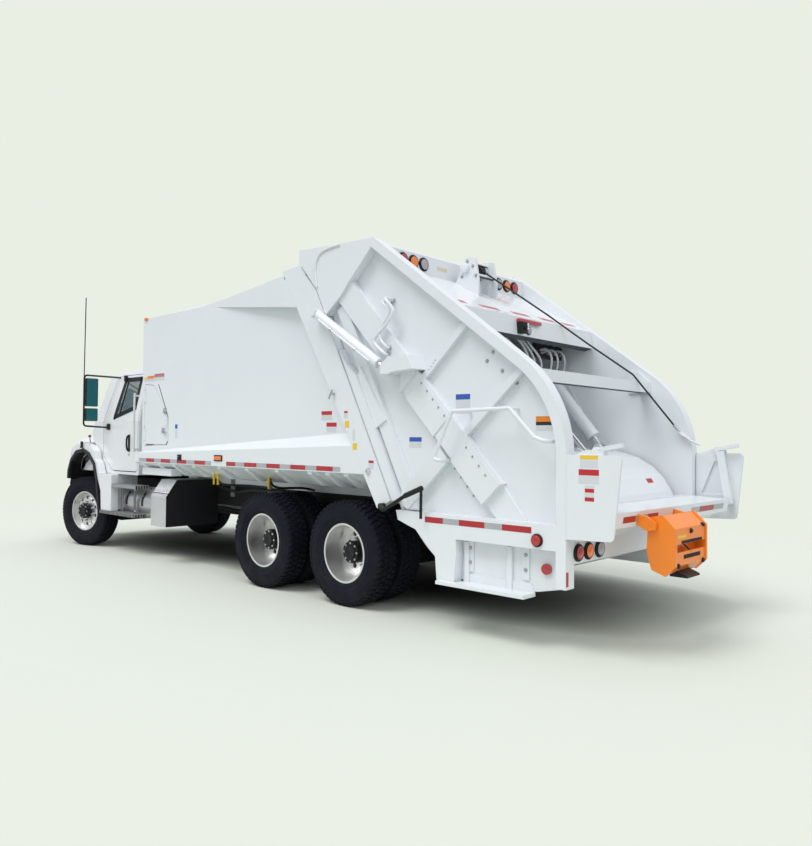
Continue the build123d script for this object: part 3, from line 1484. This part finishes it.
# Lamps of the tailgate
high_lamp_shares = [(0.3721, 0.9375)]
high_lamp_y = (627, 777, 927)
low_lamp_shares = [(1, 0.2153)]
low_lamp_y = (723, 894, 1045)
lamp_radius = 56
lamp_depth = 24
side_lamp_shares = [(0.9199, 0.2389), (0.9294, 0.175)]
side_lamp_radius = 42
with BuildPart() as rear_lamps:
    for (x, z), across in (
        (gates(high_lamp_shares)[0], high_lamp_y),
        (gates(low_lamp_shares)[0], low_lamp_y),
    ):
        for y in across:
            bar((x, y, z), (x - lamp_depth, y, z), lamp_radius)
            bar((x, -y, z), (x - lamp_depth, -y, z), lamp_radius)
    pins(gates(side_lamp_shares)[0], side_lamp_radius, half_width, half_width + lamp_depth)
    pins(gates(side_lamp_shares)[1], side_lamp_radius, wall_y, wall_y + lamp_depth)
    slab(gates(header_lamp_shares), *header_lamp_y)
    slab(gates(camera_shares), *camera_y)
    add(gate_roof.part, mode=Mode.SUBTRACT)
rear_lamps.part.label = "rear_lamps"
export_step(rear_lamps.part, "parts/rear_lamps.step")

# The winch's cable with its shackle and hook
cable_shares = [
    (0.4741, 0.9292), (0.6185, 0.8111), (0.7284, 0.7278), (0.8509, 0.6389), (0.9639, 0.4833),
]
cable_y = (40, -420, -600, -810, -1060)
cable_radius = 9
cable_bend = 150
hook_shares = [(0.9639, 0.4833), (0.9984, 0.4583), (1.0267, 0.4472)]
hook_y = (-1060, -1070, -1080)
hook_radius = 16
with BuildPart() as winch_cable:
    bent_tube([(x, y, z) for (x, z), y in zip(gates(cable_shares), cable_y)], cable_radius, cable_bend)
    hook = [(x, y, z) for (x, z), y in zip(gates(hook_shares), hook_y)]
    bar(hook[0], hook[1], hook_radius)
    bar(hook[1], hook[2], hook_radius * 2 / 3)
winch_cable.part.label = "winch_cable"
export_step(winch_cable.part, "parts/winch_cable.step")

# Packing cylinders, held by a tube across the top of the tailgate
pack_y = 920
pack_radius = 80
pack_span = (1050, 2250)
pack_rod_radius = 40
pack_rod_span = (90, 1220)
cross_tube_radius = 52
cross_tube_along = 2345
bore_stop = 60
with BuildPart() as pack_barrels:
    for side in sides.values():
        start, end = (
            (x, side * pack_y, z) for x, z in (track(along, 0) for along in pack_span)
        )
        bar(start, end, pack_radius)
        stop_x, stop_z = track(pack_span[1] - bore_stop, 0)
        bar(start, (stop_x, side * pack_y, stop_z), pack_rod_radius + run_gap, Mode.SUBTRACT)
    pin(track(cross_tube_along, 0), cross_tube_radius, -skin_y, skin_y)
    for side in sides.values():
        tip_x, tip_z = track(cross_tube_along, 0)
        bar(
            (track(pack_span[1], 0)[0], side * pack_y, track(pack_span[1], 0)[1]),
            (tip_x, side * pack_y, tip_z),
            pack_radius * 3 / 4,
        )
pack_barrels.part.label = "pack_barrels"
export_step(pack_barrels.part, "parts/pack_barrels.step")

with BuildPart() as pack_rods:
    for side in sides.values():
        start, end = (
            (x, side * pack_y, z) for x, z in (track(along, 0) for along in pack_rod_span)
        )
        bar(start, end, pack_rod_radius)
pack_rods.part.label = "pack_rods"
export_step(pack_rods.part, "parts/pack_rods.step")

# The slide that carries the blade up and down the track, with the sweep cylinders' barrels
panel_span = (160, 1160)
panel_aside = (-240, -120)
slide_half = 1050
cheek_y = (1070, 1090)
shoe_y = (1090, 1175)
shoe_span = (-75, 1150)
shoe_half = 80
blade_tube_radius = 40
lug_radius = 75
slide_lug_y = [(200, 240), (700, 750)]
seat_span = (40, 90)
seat_aside = (-130, 50)
seat_y = (870, 970)
sweep_y = 920
sweep_top = (1116, 229)
sweep_eye_radius = 197
sweep_eye_along = 118
sweep_eye_aside = 161
sweep_radius = 65
sweep_rod_radius = 30
sweep_barrel_start = 50
sweep_barrel_end = 840
sweep_rod_end = 500
sweep_bore_room = 125
top_lug_y = [(770, 800), (1030, 1070)]
top_lug_radius = 60
cheek_places = [(-75, -80), (-75, 80), (150, 80), (1000, 290), (1180, 290), (1180, -240), (140, -240), (60, -80)]
sweep_tip = track(*sweep_top)
sweep_eye = track(sweep_eye_along, sweep_eye_aside)
sweep_length = hypot(sweep_tip[0] - sweep_eye[0], sweep_tip[1] - sweep_eye[1])


def on_sweep(share, y):
    """A place on a sweep cylinder: share of the way from its top pin to its rod's eye."""
    return (
        sweep_tip[0] + share * (sweep_eye[0] - sweep_tip[0]),
        y,
        sweep_tip[1] + share * (sweep_eye[1] - sweep_tip[1]),
    )


with BuildPart() as packer_slide:
    slab(track_block(panel_span, panel_aside), -slide_half, slide_half)
    pair([track(*place) for place in cheek_places], *cheek_y)
    pair(track_block(panel_span, panel_aside), slide_half, cheek_y[0])
    pair(track_block(shoe_span, (-shoe_half, shoe_half)), *shoe_y)
    pins(blade_pivot, blade_tube_radius, 0, cheek_y[1])
    for low, high in slide_lug_y:
        pins(blade_pivot, lug_radius, low, high)
        web = track_block((0, panel_span[0] + over), (panel_aside[0], panel_aside[1] / 3))
        web[0] = track(lug_radius / 3, -lug_radius)
        web[3] = track(0, lug_radius / 2)
        pair(web, low, high)
    seat = track_block(seat_span, seat_aside)
    pair(seat, *seat_y)
    seat_web = track_block((seat_span[0], panel_span[0] + over), (seat_aside[0] - plate, seat_aside[0]))
    pair(seat_web, *seat_y)
    for low, high in top_lug_y:
        lug = track_block(
            (sweep_top[0] - over * 3 / 2, panel_span[1]), (panel_aside[1], sweep_top[1])
        )
        pair(lug, low, high)
        pins(sweep_tip, top_lug_radius, low, high)
    pins(sweep_tip, pin_radius, top_lug_y[0][0], top_lug_y[1][1])
packer_slide.part.label = "packer_slide"
export_step(packer_slide.part, "parts/packer_slide.step")

with BuildPart() as sweep_barrels:
    for side in sides.values():
        y = side * sweep_y
        start = on_sweep(sweep_barrel_start / sweep_length, y)
        end = on_sweep(sweep_barrel_end / sweep_length, y)
        bar(start, end, sweep_radius)
        pin(sweep_tip, top_lug_radius, y - top_lug_radius, y + top_lug_radius)
        pin(sweep_tip, pin_radius, y - sweep_y, y + sweep_y, Mode.SUBTRACT)
        inner = on_sweep((sweep_length - sweep_rod_end - sweep_bore_room) / sweep_length, y)
        bar(inner, end, sweep_rod_radius + run_gap, Mode.SUBTRACT)
sweep_barrels.part.label = "sweep_barrels"
export_step(sweep_barrels.part, "parts/sweep_barrels.step")

sweep_eye_ring = 48
sweep_eye_y = 30
with BuildPart() as sweep_rods:
    for side in sides.values():
        y = side * sweep_y
        bar(
            on_sweep(1 - sweep_rod_end / sweep_length, y),
            on_sweep(1, y),
            sweep_rod_radius,
        )
        pin(sweep_eye, sweep_eye_ring, y - sweep_eye_y, y + sweep_eye_y)
sweep_rods.part.label = "sweep_rods"
export_step(sweep_rods.part, "parts/sweep_rods.step")

# The blade that sweeps the hopper
blade_shares = [
    (0.7504, 0.4264), (0.7771, 0.4228), (0.8305, 0.4097), (0.8779, 0.3869), (0.9149, 0.3569),
    (0.9422, 0.3194), (0.967, 0.2667), (0.9451, 0.2861), (0.8603, 0.3278), (0.7378, 0.3528),
]
blade_hollow_shares = [
    (0.7284, 0.4333), (0.7771, 0.4172), (0.8273, 0.4044), (0.8735, 0.3825), (0.9096, 0.3531),
    (0.9325, 0.3222), (0.865, 0.3333), (0.7316, 0.3589),
]
blade_half = 1055
blade_end = 20
blade_arm_y = [(370, 410), (800, 840), (1015, 1055)]
blade_arm_shares = [
    (0.7692, 0.4222), (0.7316, 0.4361), (0.697, 0.3861), (0.7002, 0.3667), (0.7378, 0.3556),
    (0.7755, 0.3472),
]
eye_ear_shares = [(0.7473, 0.4444), (0.7159, 0.4444), (0.697, 0.3833), (0.7598, 0.3889)]
with BuildPart() as sweep_blade:
    slab(gates(blade_shares), -blade_half, blade_half)
    slab(gates(blade_hollow_shares), blade_end - blade_half, blade_half - blade_end, mode=Mode.SUBTRACT)
    for low, high in blade_arm_y:
        pair(gates(blade_arm_shares), low, high)
        pins(blade_pivot, lug_radius, low, high)
    for low, high in blade_arm_y[1:]:
        pins(sweep_eye, sweep_eye_ring, low, high)
    pins(blade_pivot, blade_tube_radius + run_gap, 0, blade_half + over, Mode.SUBTRACT)
sweep_blade.part.label = "sweep_blade"
export_step(sweep_blade.part, "parts/sweep_blade.step")

# Lift cylinders that raise the tailgate
lift_length = hypot(lift_low[0] - lift_top[0], lift_low[1] - lift_top[1])
lift_radius = 50
lift_rod_radius = 28
lift_barrel_span = (40, 1060)
lift_rod_start = 100
lift_ring = 46
lift_tab = 42


def on_lift(along, side):
    """A place on a lift cylinder, along it from its pin on the body."""
    share = along / lift_length
    return (
        lift_top[0] + share * (lift_low[0] - lift_top[0]),
        side * lift_middle,
        lift_top[1] + share * (lift_low[1] - lift_top[1]),
    )


with BuildPart() as lift_barrels:
    for side in sides.values():
        bar(on_lift(lift_barrel_span[0], side), on_lift(lift_barrel_span[1], side), lift_radius)
        near, far = sorted((side * lift_y[0], side * lift_y[1]))
        pin(lift_top, lift_ring, near, far)
        pin(lift_top, pin_radius + run_gap, near - over, far + over, Mode.SUBTRACT)
        bar(
            on_lift(lift_rod_start - over / 2, side),
            on_lift(lift_barrel_span[1] + over, side),
            lift_rod_radius + run_gap,
            Mode.SUBTRACT,
        )
lift_barrels.part.label = "lift_barrels"
export_step(lift_barrels.part, "parts/lift_barrels.step")

with BuildPart() as lift_rods:
    for side in sides.values():
        bar(on_lift(lift_rod_start, side), on_lift(lift_length - lift_tab, side), lift_rod_radius)
        bar(on_lift(lift_length - lift_tab * 2, side), on_lift(lift_length, side), eye_thick)
        middle = side * lift_middle
        pin(lift_low, lift_tab, middle - eye_thick, middle + eye_thick)
lift_rods.part.label = "lift_rods"
export_step(lift_rods.part, "parts/lift_rods.step")

# Turnbuckles that lock the tailgate to the body
buckle_shares = [(0.394, 0.2833), (0.41, 0.2736), (0.4939, 0.3139), (0.5567, 0.3356)]
buckle_radii = (24, 18, 24)
buckle_y = (1275, 1230)
handle_shares = [(0.5542, 0.3333), (0.5538, 0.2611)]
handle_radius = 13
with BuildPart() as turnbuckles:
    places = gates(buckle_shares)
    for side in sides.values():
        y = side * buckle_y[0]
        for (start, end), radius in zip(zip(places, places[1:]), buckle_radii):
            bar((start[0], y, start[1]), (end[0], y, end[1]), radius)
        top, low = gates(handle_shares)
        bar((top[0], y, top[1]), (low[0], y, low[1]), handle_radius)
    pins(places[0], pin_radius, half_width, buckle_y[0])
turnbuckles.part.label = "turnbuckles"
export_step(turnbuckles.part, "parts/turnbuckles.step")

# The cart lifter on the hopper's sill
lifter_hinge_shares = [(1.1429, 0.2778)]
lifter_bracket_shares = [
    (1.1108, 0.3), (1.1366, 0.2944), (1.1554, 0.2833), (1.1554, 0.2694), (1.1366, 0.2639),
    (1.1064, 0.2778),
]
lifter_bracket_y = [(95, 120), (740, 765)]
lifter_arm_shares = [
    (1.1366, 0.2944), (1.168, 0.3), (1.1994, 0.2722), (1.1994, 0.1944), (1.1743, 0.1722),
    (1.1397, 0.1833), (1.1272, 0.2222), (1.1303, 0.2639),
]
lifter_arm_y = [(130, 160), (700, 730)]
lifter_head_shares = [
    (1.146, 0.2903), (1.1648, 0.2986), (1.1962, 0.2722), (1.1962, 0.2389), (1.19, 0.2389),
    (1.19, 0.2694), (1.1633, 0.2917),
]
lifter_lip_shares = [
    (1.1962, 0.1944), (1.1962, 0.2222), (1.19, 0.2222), (1.168, 0.1833), (1.1743, 0.175),
]
lifter_spine_shares = [(1.1554, 0.2833), (1.172, 0.2833), (1.172, 0.1833), (1.1554, 0.1833)]
lifter_foot_shares = [
    (1.1617, 0.1667), (1.2057, 0.1667), (1.2057, 0.1708), (1.168, 0.1833), (1.1617, 0.1833),
]
lifter_foot_y = (330, 560)
lifter_pin_radius = 22
lifter_tube_radius = 42
lifter_hinge = gates(lifter_hinge_shares)[0]
with BuildPart() as lifter_base:
    for low, high in lifter_bracket_y:
        slab(gates(lifter_bracket_shares), low, high)
    pin(lifter_hinge, lifter_pin_radius, lifter_bracket_y[0][0], lifter_bracket_y[1][1])
lifter_base.part.label = "lifter_base"
export_step(lifter_base.part, "parts/lifter_base.step")

with BuildPart() as lifter_face:
    for low, high in lifter_arm_y:
        slab(gates(lifter_arm_shares), low, high)
    inside = (lifter_arm_y[0][1], lifter_arm_y[1][0])
    for shares in (lifter_head_shares, lifter_lip_shares, lifter_spine_shares):
        slab(gates(shares), *inside)
    slab(gates(lifter_foot_shares), *lifter_foot_y)
    pin(lifter_hinge, lifter_tube_radius, lifter_arm_y[0][0], lifter_arm_y[1][1])
    pin(lifter_hinge, lifter_pin_radius + run_gap, 0, half_width, Mode.SUBTRACT)
lifter_face.part.label = "lifter_face"
export_step(lifter_face.part, "parts/lifter_face.step")
